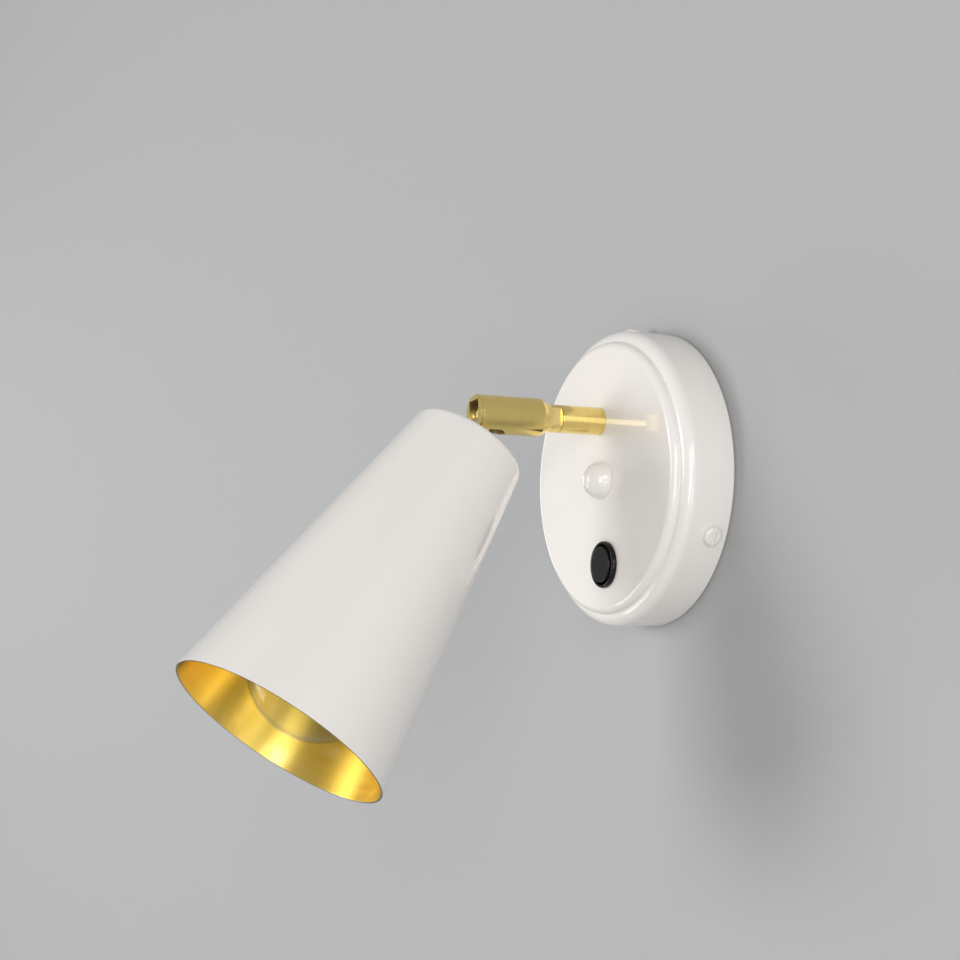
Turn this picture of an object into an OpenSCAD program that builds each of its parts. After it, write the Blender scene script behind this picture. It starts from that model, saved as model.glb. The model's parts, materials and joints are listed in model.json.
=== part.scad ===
// Cone wall light: a round canopy with a push-button switch, a brass arm that turns and tilts,
// and a spun cone shade over a screw-in bulb. Millimetres. The wall is the plane Y = 0, the
// light stands out from it along -Y, and +Z is up. The origin is the canopy's centre on the wall.

/* [Canopy] */
// Outside diameter of the canopy at the wall
canopy_d = 127; // [120:1:140]
// How far the canopy's face stands out from the wall
canopy_depth = 26; // [25:0.5:32]
// Thickness of the pressed sheet
canopy_sheet = 1.5; // [1:0.1:1.8]
// Radius of the roll round the front of the side wall
roll_r = 5; // [4:0.1:6]
// How far the face stands above the roll
face_step = 3.5; // [3.5:0.1:4.5]
// Radius of the rounded edge of the raised face
face_edge_r = 3; // [2:0.1:3]

/* [Fixings] */
// Distance of the three side screws from the wall
side_screw_out = 7.4; // [6.5:0.1:9]
// Shank diameter of the side screws
side_screw_d = 4; // [3:0.1:5]
// Head diameter of the side screws
side_head_d = 8; // [7:0.1:9]
// Height of the side screws' heads
side_head_h = 2.6; // [2:0.1:3]
// Length of the side screws under the head
side_screw_len = 9; // [7:0.5:12]
// Thickness of the bracket's sheet
bracket_sheet = 1.5; // [1.2:0.1:2]
// Radius of the bracket's round plate
bracket_r = 51; // [49:0.5:54]
// Width of the bracket's three bent tabs
tab_w = 12; // [9:0.5:14]
// Height of the bent tabs above the wall
tab_h = 12.5; // [11.5:0.5:15]
// Distance between the centres of the two slots for the wall screws
wall_slot_spacing = 79.4; // [74:0.1:82]
// Length of each slot for a wall screw, end to end
wall_slot_len = 14; // [8:0.5:15]
// Width of each slot for a wall screw
wall_slot_w = 4.6; // [4:0.1:5.5]
// Diameter of the bracket's middle hole for the supply wires
wire_hole_d = 24; // [16:1:28]
// Diameter of the ground screw
ground_screw_d = 4; // [3:0.1:5]

/* [Dome cap] */
// Radius of the half-ball cap on the face
dome_r = 8.2; // [6:0.1:10]
// How far the cap's centre lies below the canopy's centre
dome_drop = 1.2; // [0:0.1:4]
// Diameter of the cap's stud
dome_stud_d = 4; // [3:0.1:6]

/* [Switch] */
// How far the switch's centre lies below the canopy's centre
switch_drop = 37.7; // [34:0.1:39]
// Diameter of the switch's bezel
bezel_d = 20; // [19:0.1:22]
// Height of the bezel above the face
bezel_h = 2; // [1.8:0.1:3]
// Diameter of the switch's threaded barrel
switch_barrel_d = 17.4; // [17:0.1:17.8]
// Length of the switch's barrel behind the face's front
switch_barrel_len = 12; // [11:0.1:13.5]
// Diameter of the push button
button_d = 15.4; // [14:0.1:15.6]
// How far the button stands out of the bezel
button_proud = 0.75; // [0.5:0.05:2]
// How far the button travels
button_travel = 2.5; // [1.5:0.1:3]

/* [Arm] */
// Height of the arm above the canopy's centre
arm_height = 24.5; // [22:0.1:28]
// Diameter of the stem and of the swivel's neck
stem_d = 12; // [11.6:0.1:13]
// Length of the stem from the canopy's face
stem_len = 20.5; // [19:0.1:30]
// Thread diameter of the nipple that holds the stem
nipple_d = 10; // [9:0.1:10.4]
// Diameter of the journal on which the swivel turns
journal_d = 7; // [6.4:0.1:7.4]
// Length of the stem's bearing for the journal
bearing_len = 6.5; // [5:0.1:8]
// Width of the open seam between stem and swivel
seam = 0.2; // [0.1:0.05:0.4]
// Straight length of the swivel's neck
neck_len = 4.7; // [3.5:0.1:8]
// Length of the cone from neck to barrel
cone_len = 4.9; // [2:0.1:6]
// Distance across the two wrench flats
flats_w = 9.4; // [8.6:0.1:10.4]
// Diameter of the swivel's barrel
barrel_d = 16.4; // [15.6:0.1:18]
// Length of the swivel's barrel
barrel_len = 29.7; // [26:0.1:45]
// Chamfer round the barrel's outer end
barrel_chamfer = 0.7; // [0.3:0.1:1]
// Diameter of the wires' channel through the arm
channel_d = 4.4; // [4.1:0.1:4.6]

/* [Tilt joint] */
// Distance of the tilt screw from the barrel's outer end
hinge_inset = 7.1; // [6.8:0.1:8]
// Width of the slot in the barrel
slot_w = 8.3; // [8.2:0.1:9]
// Thickness of the bridge that closes the slot at the top
bridge = 2.5; // [2:0.1:2.6]
// Thickness of the tongue
tongue_w = 7.8; // [7:0.1:7.8]
// Radius of the tongue's round end
tongue_r = 5.4; // [5:0.05:5.4]
// Diameter of the tilt screw
pin_d = 3; // [2.4:0.1:3.2]
// Diameter of the tongue's neck
tongue_neck_d = 7; // [6:0.1:7.2]
// Tilt of the shade from straight down
rest_tilt = 36.17; // [10:0.01:80]

/* [Shade] */
// Distance from the tilt screw to the shade's top
shade_top = 16.5; // [14:0.1:18]
// Height of the shade along its axis
shade_h = 146.7; // [145:0.1:170]
// Radius at the top, where the cone would meet the flat
shade_top_r = 24.7; // [24:0.1:28]
// Outside radius at the mouth
shade_mouth_r = 47.5; // [46:0.1:60]
// Thickness of the spun sheet
shade_sheet = 0.9; // [0.7:0.1:1.2]
// Radius of the rounded shoulder
shoulder_r = 3.2; // [2:0.1:6]
// Diameter of the collar under which the shade is clamped
collar_d = 15; // [12.5:0.1:17]
// Thickness of the collar
collar_h = 1.6; // [1:0.1:1.9]

/* [Lampholder] */
// Outside diameter of the lampholder
holder_d = 39; // [36:0.1:40]
// Length of the lampholder's body
holder_len = 44; // [42:0.5:46]
// Length of the lampholder's cap
holder_cap_len = 15.9; // [15:0.1:18]
// Inside diameter of the threaded shell
shell_bore_d = 26.9; // [26.8:0.05:27.4]
// Height of the middle contact that the bulb is screwed down on
holder_contact_h = 5.35; // [4.5:0.05:6.5]

/* [Bulb] */
// Diameter of the bulb's globe
bulb_d = 60; // [55:0.5:62]
// Length of the bulb from contact to crown
bulb_len = 105; // [104:0.5:112]
// Diameter of the bulb's screw base
base_d = 26.4; // [26:0.1:26.5]
// Length of the bulb's screw base from the contact to its rim
base_len = 27; // [25:0.5:28]
// Diameter of the bulb's neck
bulb_neck_d = 28; // [27:0.5:32]
// Radius of the fillet from neck to globe
neck_fillet = 22; // [16:0.5:30]
// Thickness of the bulb's glass
glass = 0.8; // [0.6:0.1:1]

/* [Wires] */
// Diameter of an insulated wire
wire_d = 1.9; // [1.6:0.05:1.95]

/* [Hidden] */
$fn = 64;

// Clearances and small fits
thread_gap = 0.05;
running_gap = 0.05;
hole_gap = 0.25;
seat_gap = 0.1;
eps = 0.01;

// Colours
white_paint = [0.93, 0.91, 0.88];
brass = [0.80, 0.66, 0.30];
steel = [0.68, 0.69, 0.70];
black_plastic = [0.06, 0.06, 0.06];
porcelain = [0.90, 0.89, 0.86];
clear_glass = [0.85, 0.92, 0.95, 0.35];

// Canopy, worked out from its sizes
canopy_r = canopy_d / 2;
inner_r = canopy_r - canopy_sheet;
back_of_face = canopy_depth - canopy_sheet;
roll_top = canopy_depth - face_step;
roll_base = roll_top - roll_r;
roll_end = 84;
groove = 0.3;
face_r = canopy_r - roll_r;
tab_face_r = inner_r - 0.8;
side_angles = [90, 210, 330];
boss_h = 2.5;
ground_at = [22, 34];

// Arm, measured outwards from the wall along its axis
stem_end = canopy_depth + stem_len;
neck_start = stem_end + seam;
cone_start = neck_start + neck_len;
barrel_start = cone_start + cone_len;
barrel_end = barrel_start + barrel_len;
hinge_out = barrel_end - hinge_inset;
barrel_r = barrel_d / 2;
stem_r = stem_d / 2;
nipple_r = nipple_d / 2 - thread_gap;
journal_r = journal_d / 2 - running_gap;
bearing_back = stem_end - bearing_len;
washer_t = 0.8;
swivel_nut_h = 2.6;
swivel_nut_r = nipple_d / 2 - 0.4;
journal_end = bearing_back - washer_t - swivel_nut_h - 1;
nipple_in = 7.5;
nipple_back = 8.5;
slot_back = hinge_inset + 6.4;
slot_top = barrel_r - bridge;
flats_start = neck_start + 0.2;
flats_end = cone_start + 0.53 * cone_len;

// Head, measured from the tilt screw along the shade's axis
shade_in = shade_top + shade_sheet;
shade_washer_h = 1;
nut_h = 3.5;
holder_start = shade_in + shade_washer_h + nut_h + 0.3;
holder_floor = holder_start + holder_cap_len;
holder_mouth = holder_floor + holder_len;
holder_r = holder_d / 2;
base_floor = holder_floor + 8;
base_t = 5;
contact_u = base_floor + base_t;
mouth_u = shade_top + shade_h;
half_angle = atan((shade_mouth_r - shade_top_r) / shade_h);
bulb_r = bulb_d / 2;
tip_u = contact_u + holder_contact_h + thread_gap;
crown_u = tip_u + bulb_len;
globe_u = crown_u - bulb_r;
base_r = base_d / 2;
shell_rim_u = tip_u + base_len;
spigot_end = holder_start + 4.5;
wire_r = wire_d / 2;
pair = wire_r + 0.1;

// A run of points on an arc about [cx, cy]
function arc(cx, cy, r, from, to, steps = 10) = [
    for (i = [0:steps]) let (a = from + (to - from) * i / steps) [cx + r * cos(a), cy + r * sin(a)]
];

// Children stand on the wall: their X stays, their Y points up and their Z points out of the wall
module on_wall(x = 0, z = 0) translate([x, 0, z]) rotate([90, 0, 0]) children();
// Children lie along the arm's axis
module on_arm() on_wall(0, arm_height) children();
// Children hang from the tilt screw: their Z runs down the shade's axis, their Y to its front
module on_head() translate([0, -hinge_out, arm_height]) rotate([180 - rest_tilt, 0, 0]) children();

module ring(r_out, r_in, from, to) translate([0, 0, from]) difference() {
    cylinder(r = r_out, h = to - from);
    translate([0, 0, -1]) cylinder(r = r_in, h = to - from + 2);
}
module hex_nut(across, bore_r, from, to) translate([0, 0, from]) difference() {
    cylinder(d = across / cos(30), h = to - from, $fn = 6);
    translate([0, 0, -1]) cylinder(r = bore_r, h = to - from + 2);
}

// A smooth path through the given points, and a tube swept along it
function spline(p, i, t) = let (
    a = p[max(i - 1, 0)], b = p[i], c = p[i + 1], d = p[min(i + 2, len(p) - 1)]
) 0.5 * (2 * b + (c - a) * t + (2 * a - 5 * b + 4 * c - d) * t * t + (3 * b - a - 3 * c + d) * t * t * t);
function smooth(p, n) = [for (i = [0:len(p) - 2]) for (k = [0:n - 1]) spline(p, i, k / n), p[len(p) - 1]];
function unit(v) = v / norm(v);
module tube(path, r, sides = 8) {
    n = len(path);
    along = [for (i = [0:n - 1]) unit(path[min(i + 1, n - 1)] - path[max(i - 1, 0)])];
    across = [for (t = along) unit(cross(t, [0.35, 0.2, 0.91]))];
    points = [
        for (i = [0:n - 1]) for (k = [0:sides - 1])
            let (a = 360 * k / sides) path[i] + r * (cos(a) * across[i] + sin(a) * cross(along[i], across[i]))
    ];
    walls = [
        for (i = [0:n - 2]) for (k = [0:sides - 1]) let (a = i * sides + k, b = i * sides + (k + 1) % sides)
            each [[a, a + sides, b], [b, a + sides, b + sides]]
    ];
    lids = [
        for (k = [1:sides - 2]) each [[0, k, k + 1], [(n - 1) * sides, (n - 1) * sides + k + 1, (n - 1) * sides + k]]
    ];
    polyhedron(points = points, faces = concat(walls, lids));
}
// A wire through points given as [x, distance out from the wall, z]
module lead(points) tube([for (p = smooth(points, 4)) [p[0], -p[1], p[2]]], wire_r);

// Bracket: a round plate with three tabs bent out to take the side screws
module mounting_bracket() color(steel) on_wall() difference() {
    union() {
        cylinder(r = bracket_r, h = bracket_sheet);
        translate([ground_at[0], ground_at[1], 0]) cylinder(r = ground_screw_d, h = bracket_sheet + boss_h);
        for (a = side_angles) rotate([0, 0, a]) {
            translate([0, -tab_w / 2, 0]) cube([tab_face_r - bracket_sheet, tab_w, bracket_sheet]);
            translate([tab_face_r - bracket_sheet, -tab_w / 2, bracket_sheet])
                cube([bracket_sheet, tab_w, tab_h - bracket_sheet]);
            translate([tab_face_r - bracket_sheet, tab_w / 2, bracket_sheet]) rotate([90, 0, 0])
                intersection() {
                    cylinder(r = bracket_sheet, h = tab_w);
                    translate([0, -bracket_sheet, 0]) cube([bracket_sheet, bracket_sheet, tab_w]);
                }
        }
    }
    translate([0, 0, -1]) cylinder(d = wire_hole_d, h = bracket_sheet + 2);
    for (side = [-1, 1]) translate([side * wall_slot_spacing / 2, 0, -1]) wall_slot();
    translate([ground_at[0], ground_at[1], -1])
        cylinder(d = ground_screw_d + 2 * thread_gap, h = bracket_sheet + boss_h + 2);
    for (a = side_angles) rotate([0, 0, a]) translate([tab_face_r - 2 * bracket_sheet, 0, side_screw_out])
        rotate([0, 90, 0]) cylinder(d = side_screw_d + 2 * thread_gap, h = 3 * bracket_sheet);
}
module wall_slot() {
    straight = wall_slot_len - wall_slot_w;
    for (end = [-1, 1]) translate([end * straight / 2, 0, 0]) cylinder(d = wall_slot_w, h = bracket_sheet + 2);
    translate([-straight / 2, -wall_slot_w / 2, 0]) cube([straight, wall_slot_w, bracket_sheet + 2]);
}

// Ground screw: hex head over a flat washer face, screwed into the bracket's boss
ground_top = bracket_sheet + boss_h;
lug_t = 0.8;
module ground_screw() color([0.15, 0.45, 0.2]) on_wall(ground_at[0], ground_at[1]) {
    cylinder(d = ground_screw_d, h = ground_top + lug_t + 1);
    translate([0, 0, ground_top + lug_t]) difference() {
        cylinder(d = 2 * ground_screw_d, h = 2.8, $fn = 6);
        translate([-ground_screw_d - 1, -0.5, 1.8]) cube([2 * ground_screw_d + 2, 1, 2]);
    }
}
// Ground wire: a ring lug under the screw, its barrel, and the wire up to its connector
module ground_wire() color([0.2, 0.5, 0.22]) {
    on_wall(ground_at[0], ground_at[1]) difference() {
        union() {
            translate([0, 0, ground_top]) cylinder(r = ground_screw_d, h = lug_t);
            translate([0, -1.5, ground_top]) cube([ground_screw_d + 3, 3, lug_t]);
            translate([ground_screw_d + 1, 0, ground_top + lug_t + wire_r]) rotate([0, 90, 0])
                cylinder(r = wire_r + 0.3, h = 5);
        }
        translate([0, 0, ground_top - 1]) cylinder(d = ground_screw_d + 2 * hole_gap, h = lug_t + 2);
    }
    lug_end = ground_at[0] + ground_screw_d + 6;
    lug_out = ground_top + lug_t + wire_r;
    lead([
        [lug_end - 0.5, lug_out, ground_at[1]], [lug_end + 2, lug_out, ground_at[1]],
        [connector_x[2] - 1.5, 8.5, ground_at[1] - 2], [connector_x[2], connector_out, connector_top + 4.5],
        [connector_x[2], connector_out, connector_top - connector_grip]
    ]);
}

// Connectors: three twist-on caps that join the leads to the supply
connector_x = [26, -28, 40];
connector_out = 12;
connector_top = 20;
connector_len = 18;
connector_r = 5;
connector_grip = 6;
module wire_connectors() color([0.85, 0.55, 0.15]) for (i = [0:2])
    translate([connector_x[i], -connector_out, connector_top - connector_len]) difference() {
        union() {
            cylinder(r1 = connector_r - 1.6, r2 = connector_r, h = connector_len);
            for (a = [0:45:315]) rotate([0, 0, a]) translate([connector_r - 1.2, -0.5, connector_len - 9])
                cube([1.6, 1, 8]);
        }
        translate([0, 0, connector_len - connector_grip - 0.2])
            cylinder(r = connector_r - 1.2, h = connector_grip + 1);
    }

// Canopy: a pressed dish with a rolled front, a groove and a raised face
function canopy_section() = concat(
    [[canopy_r, 0]],
    arc(face_r, roll_base, roll_r, 0, roll_end),
    [[face_r + 0.4 * groove, roll_top + 0.25 * groove], [face_r, roll_top + groove]],
    arc(face_r - face_edge_r, canopy_depth - face_edge_r, face_edge_r, 0, 90, 8),
    [[0, canopy_depth], [0, back_of_face]],
    arc(face_r - face_edge_r, canopy_depth - face_edge_r, face_edge_r - canopy_sheet, 90, 0, 5),
    [[face_r - canopy_sheet, roll_top - canopy_sheet]],
    arc(face_r, roll_base, roll_r - canopy_sheet, 90, 0, 8),
    [[inner_r, 0]]
);
module face_hole(z, r) on_wall(0, z) translate([0, 0, back_of_face - 3]) cylinder(r = r, h = canopy_sheet + 6);
module canopy() color(white_paint) difference() {
    on_wall() rotate_extrude() polygon(canopy_section());
    face_hole(arm_height, nipple_r + hole_gap);
    face_hole(-dome_drop, dome_stud_d / 2 + hole_gap);
    face_hole(-switch_drop, switch_barrel_d / 2 + hole_gap / 2);
    for (a = side_angles) on_wall() rotate([0, 0, a]) translate([inner_r - 2, 0, side_screw_out])
        rotate([0, 90, 0]) cylinder(r = side_screw_d / 2 + hole_gap, h = canopy_sheet + 4);
}

// Side screws: three slotted pan heads, through the canopy's wall into the bracket's tabs
side_head_edge = 1.2;
side_slot_w = 1.6;
side_slot_depth = 0.9;
module side_screws() color(white_paint) for (a = side_angles)
    on_wall() rotate([0, 0, a]) translate([canopy_r, 0, side_screw_out]) rotate([0, 90, 0]) {
        translate([0, 0, -side_screw_len]) cylinder(d = side_screw_d, h = side_screw_len + 0.5);
        difference() {
            rotate_extrude() polygon(concat(
                [[0, 0], [side_head_d / 2, 0], [side_head_d / 2, side_head_h - side_head_edge]],
                arc(side_head_d / 2 - side_head_edge, side_head_h - side_head_edge, side_head_edge, 0, 75, 5),
                [[0, side_head_h + 0.2]]
            ));
            translate([-side_slot_w / 2, -side_head_d / 2 - 1, side_head_h - side_slot_depth])
                cube([side_slot_w, side_head_d + 2, 3]);
        }
    }

// Dome cap: a half ball with a stud through the canopy's middle, and its nut inside
module dome_cap() color(white_paint) on_wall(0, -dome_drop) {
    translate([0, 0, canopy_depth]) intersection() {
        sphere(r = dome_r);
        translate([-dome_r - 1, -dome_r - 1, 0]) cube(2 * dome_r + 2);
    }
    translate([0, 0, back_of_face - 5]) cylinder(d = dome_stud_d, h = canopy_sheet + 6);
}
module dome_nut() color(steel) on_wall(0, -dome_drop)
    hex_nut(1.75 * dome_stud_d, dome_stud_d / 2 + thread_gap, back_of_face - 3.2, back_of_face);

// Switch: bezel and threaded barrel in one, a sprung button, a moving contact and two terminals
switch_back = canopy_depth - switch_barrel_len;
switch_floor = switch_back + 2;
bezel_front = canopy_depth + bezel_h;
button_r = button_d / 2;
recess_r = button_r + 0.3;
recess_mouth_r = button_r + 1.2;
guide_r = button_r - 1.05;
button_front = bezel_front + button_proud;
flange_t = 1.7;
recess_floor = button_front - flange_t - button_travel - 0.3;
skirt_r = guide_r - 0.3;
skirt_end = button_front - flange_t - 5.5;
spring_r = skirt_r - 1.7;
bezel_edge = 1;
// Blades of the terminals, with crimped sleeves for the leads
terminal_x = 4;
terminal_out = switch_back - 3.6;
blade_t = 0.8;
blade_w = 2.8;
crimp_x = 9;
crimp_r = 1.3;
terminal_end = 15;
contact_gap = 0.3;
contact_t = 0.5;
module switch_body() color(black_plastic) on_wall(0, -switch_drop) difference() {
    rotate_extrude() polygon(concat(
        [[switch_barrel_d / 2, switch_back], [switch_barrel_d / 2, canopy_depth], [bezel_d / 2, canopy_depth]],
        arc(bezel_d / 2 - bezel_edge, bezel_front - bezel_edge, bezel_edge, 0, 90, 6),
        [[recess_mouth_r, bezel_front], [recess_r, bezel_front - 1.5], [recess_r, recess_floor]],
        [[guide_r, recess_floor], [guide_r, switch_floor], [0, switch_floor], [0, switch_back]]
    ));
    for (side = [-1, 1])
        translate([side * terminal_x - blade_t / 2 - seat_gap, -blade_w / 2 - seat_gap, switch_back - 1])
            cube([blade_t + 2 * seat_gap, blade_w + 2 * seat_gap, switch_floor - switch_back + 2]);
}
module switch_nut() color(black_plastic) on_wall(0, -switch_drop)
    hex_nut(switch_barrel_d + 4.2, switch_barrel_d / 2 + thread_gap, back_of_face - 3, back_of_face);
module switch_terminals() color(brass) on_wall(0, -switch_drop) for (side = [0, 1]) mirror([side, 0, 0]) {
    translate([terminal_x - blade_t / 2, -blade_w / 2, terminal_out]) {
        cube([blade_t, blade_w, switch_floor - terminal_out + contact_gap]);
        cube([crimp_x - terminal_x + 1, blade_w, blade_t]);
    }
    translate([crimp_x, 0, terminal_out + blade_t / 2]) rotate([0, 90, 0])
        cylinder(r = crimp_r, h = terminal_end - crimp_x);
}
// Moving contact: a brass bar over the two blades, under the spring
module switch_contact() color(brass) on_wall(0, -switch_drop)
    translate([0, 0, switch_floor + contact_gap]) intersection() {
        cylinder(r = guide_r - 0.2, h = contact_t);
        translate([-guide_r, -blade_w / 2, 0]) cube([2 * guide_r, blade_w, contact_t]);
    }
spring_wire_r = 0.3;
spring_turns = 6;
spring_low = switch_floor + contact_gap + contact_t + spring_wire_r;
spring_high = button_front - flange_t - spring_wire_r;
module switch_spring() color(steel) on_wall(0, -switch_drop) tube([
    for (i = [0:spring_turns * 12]) let (a = 30 * i)
        [spring_r * cos(a), spring_r * sin(a), spring_low + (spring_high - spring_low) * i / (spring_turns * 12)]
], spring_wire_r, 6);
module push_button() color(black_plastic) on_wall(0, -switch_drop) rotate_extrude() polygon([
    [0, button_front - flange_t], [0, button_front], [button_r - 0.6, button_front],
    [button_r, button_front - 0.6], [button_r, button_front - flange_t], [skirt_r, button_front - flange_t],
    [skirt_r, skirt_end], [skirt_r - 1, skirt_end], [skirt_r - 1, button_front - flange_t]
]);

// Leads inside the canopy: supply to switch, switch to arm, and arm back to supply
lead_out = terminal_out + blade_t / 2;
lead_start = terminal_end + 0.15;
stem_mouth = back_of_face - nipple_back;
module live_lead() color([0.1, 0.1, 0.1]) lead([
    [lead_start, lead_out, -switch_drop], [lead_start + 1.5, lead_out, -switch_drop],
    [lead_start + 3, lead_out, -switch_drop],
    [25, 10.5, -31], [31.5, 11, -18], [33, 11.5, 0], [33, 12, 18], [31, 12, connector_top + 7],
    [27.5, connector_out, connector_top + 7], [connector_x[0], connector_out, connector_top + 3],
    [connector_x[0], connector_out, connector_top - connector_grip]
]);
module switch_lead() color([0.1, 0.1, 0.1]) lead([
    [-lead_start, lead_out, -switch_drop], [-lead_start - 1.5, lead_out, -switch_drop],
    [-lead_start - 3, lead_out, -switch_drop],
    [-23, 10.5, -30], [-21, 10.5, -14], [-14, 10, 2], [-5, 8.5, arm_height - 10],
    [-pair, 8.5, arm_height - 3.4], [-pair, 12, arm_height - 0.4],
    [-pair, stem_mouth, arm_height], [-pair, stem_mouth + 8, arm_height],
    [-pair, journal_end - 0.3, arm_height]
]);
module neutral_lead() color([0.92, 0.92, 0.9]) lead([
    [connector_x[1], connector_out, connector_top - connector_grip],
    [connector_x[1], connector_out, connector_top + 3], [connector_x[1] + 2, connector_out, connector_top + 9],
    [-18, 11, connector_top + 15], [-8, 9.5, arm_height + 10], [-1, 8.5, arm_height + 5],
    [pair, 10.5, arm_height + 1.2], [pair, stem_mouth - 1.5, arm_height], [pair, stem_mouth + 8, arm_height],
    [pair, journal_end - 0.3, arm_height]
]);

// Stem: a brass tube, threaded at the canopy and bored as a bearing at its outer end
module stem() color(brass) on_arm() rotate_extrude() polygon([
    [nipple_d / 2, canopy_depth], [stem_r, canopy_depth], [stem_r, stem_end - 0.4], [stem_r - 0.4, stem_end],
    [journal_d / 2, stem_end], [journal_d / 2, bearing_back], [nipple_d / 2, bearing_back]
]);
// Nipple, washer and nut that clamp the stem to the canopy
module stem_nipple() color(steel) on_arm()
    ring(nipple_r, nipple_r - 1.3, back_of_face - nipple_back, canopy_depth + nipple_in);
module stem_washer() color(steel) on_arm()
    ring(nipple_r + 3.5, nipple_r + hole_gap, back_of_face - 1.2, back_of_face);
module stem_nut() color(steel) on_arm()
    hex_nut(1.4 * nipple_d, nipple_r + thread_gap, back_of_face - 5, back_of_face - 1.2);

// Swivel: journal, neck with two wrench flats, cone, and barrel with a slot for the tongue
module swivel_barrel() color(brass) on_arm() difference() {
    rotate_extrude() polygon([
        [channel_d / 2, journal_end], [journal_r, journal_end], [journal_r, neck_start], [stem_r, neck_start],
        [stem_r, cone_start], [barrel_r, barrel_start], [barrel_r, barrel_end - barrel_chamfer],
        [barrel_r - barrel_chamfer, barrel_end], [0, barrel_end], [0, hinge_out], [channel_d / 2, hinge_out]
    ]);
    for (side = [0, 1]) mirror([side, 0, 0]) translate([flats_w / 2, -barrel_r, flats_start])
        cube([barrel_r, 2 * barrel_r, flats_end - flats_start]);
    tongue_slot();
    rotate([0, 90, 0]) translate([-hinge_out, 0, -barrel_r - 1]) {
        cylinder(r = pin_d / 2 + 0.02, h = 2 * barrel_r - 0.5);
        cylinder(r = screw_head_r + hole_gap, h = screw_head_h + 1.4);
    }
}
module tongue_slot() {
    translate([0, slot_top, barrel_end - slot_back + slot_w / 2]) rotate([90, 0, 0])
        cylinder(d = slot_w, h = barrel_r + slot_top + 1);
    translate([-slot_w / 2, -barrel_r - 1, barrel_end - slot_back + slot_w / 2])
        cube([slot_w, barrel_r + slot_top + 1, slot_back]);
}
module swivel_washer() color(brass) on_arm()
    ring(swivel_nut_r, journal_r + 0.1, bearing_back - washer_t + 0.1, bearing_back - 0.1);
module swivel_nut() color(brass) on_arm()
    ring(swivel_nut_r, journal_r + 0.02, bearing_back - washer_t - swivel_nut_h, bearing_back - washer_t);
// Wires through the swivel, side by side
module swivel_wires() color([0.85, 0.85, 0.83]) on_arm() for (side = [-1, 1])
    translate([side * pair, 0, journal_end + 0.2])
        cylinder(r = wire_r, h = hinge_out - tongue_r - 0.5 - journal_end - 0.2);

// Tilt screw: slotted, let into the barrel from the side away from the switch lead
screw_head_r = 2.6;
screw_head_h = 1.3;
module tilt_screw() color(brass) on_arm() rotate([0, 90, 0]) translate([-hinge_out, 0, -barrel_r + 0.3])
    difference() {
        union() {
            cylinder(r = screw_head_r, h = screw_head_h);
            cylinder(r = pin_d / 2, h = 2 * barrel_r - 2);
        }
        translate([-screw_head_r - 1, -0.35, -1]) cube([2 * screw_head_r + 2, 0.7, 1.6]);
    }

// Tongue: a round eye with a rolled rim, a neck, a collar and a threaded spigot, in one piece
rim_r = 3;
groove_r = pin_d / 2 + 0.8;
module tilt_tongue() color(brass) on_head() difference() {
    union() {
        rotate([0, 90, 0]) rotate_extrude() polygon(concat(
            [[0, -tongue_w / 2]],
            arc(tongue_r - rim_r, -tongue_w / 2 + rim_r, rim_r, -90, 0, 8),
            arc(tongue_r - rim_r, tongue_w / 2 - rim_r, rim_r, 0, 90, 8),
            [[0, tongue_w / 2]]
        ));
        cylinder(d = tongue_neck_d, h = shade_top - collar_h + eps);
        translate([0, 0, shade_top - collar_h]) cylinder(d = collar_d, h = collar_h);
        translate([0, 0, shade_top - eps]) cylinder(r = nipple_r, h = spigot_end - shade_top);
    }
    translate([0, 0, groove_r]) cylinder(d = channel_d, h = spigot_end);
    rotate([0, 90, 0]) cylinder(r = pin_d / 2 + running_gap, h = tongue_w + 2, center = true);
    rotate([0, 90, 0]) rotate([0, 0, 180]) rotate_extrude(angle = 190)
        translate([groove_r, -channel_d / 2]) square([tongue_r + 1 - groove_r, channel_d]);
}

// Shade: a spun cone with a rounded shoulder
function shade_section() = let (
    cx = shade_top_r - shoulder_r * (1 - sin(half_angle)) / cos(half_angle),
    cu = shade_top + shoulder_r,
    lip = shade_sheet / cos(half_angle)
) concat(
    [[nipple_r + hole_gap, shade_top]],
    arc(cx, cu, shoulder_r, -90, -half_angle, 12),
    [[shade_mouth_r, mouth_u], [shade_mouth_r - lip, mouth_u]],
    arc(cx, cu, shoulder_r - shade_sheet, -half_angle, -90, 12),
    [[nipple_r + hole_gap, shade_in]]
);
module shade() color(white_paint) on_head() rotate_extrude() polygon(shade_section());
module shade_washer() color(steel) on_head()
    ring(nipple_r + 4.5, nipple_r + hole_gap, shade_in, shade_in + shade_washer_h);
module shade_nut() color(steel) on_head()
    hex_nut(1.4 * nipple_d, nipple_r + thread_gap, shade_in + shade_washer_h, shade_in + shade_washer_h + nut_h);

// Wires from the eye of the tongue down to the lampholder's terminals
module head_wires() color([0.85, 0.85, 0.83]) on_head() for (side = [-1, 1]) tube(smooth([
    [side * pair, -4.15, -2.75], [side * pair, -3.95, -1], [side * pair, -3.5, 1.2], [side * pair, -2.1, 4],
    [side * pair, -0.5, 6.7], [side * pair, 0, 9.5], [side * pair, 0, 14], [side * pair, 0, spigot_end - 3],
    [side * (pair + 0.1), 0, spigot_end], [side * 3.6, 0, spigot_end + 3],
    [side * (terminal_r - 1.4), 0, spigot_end + 4.2], [side * terminal_r, 0, spigot_end + 6],
    [side * terminal_r, 0, terminal_head_u - 0.1]
], 3), wire_r);

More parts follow.
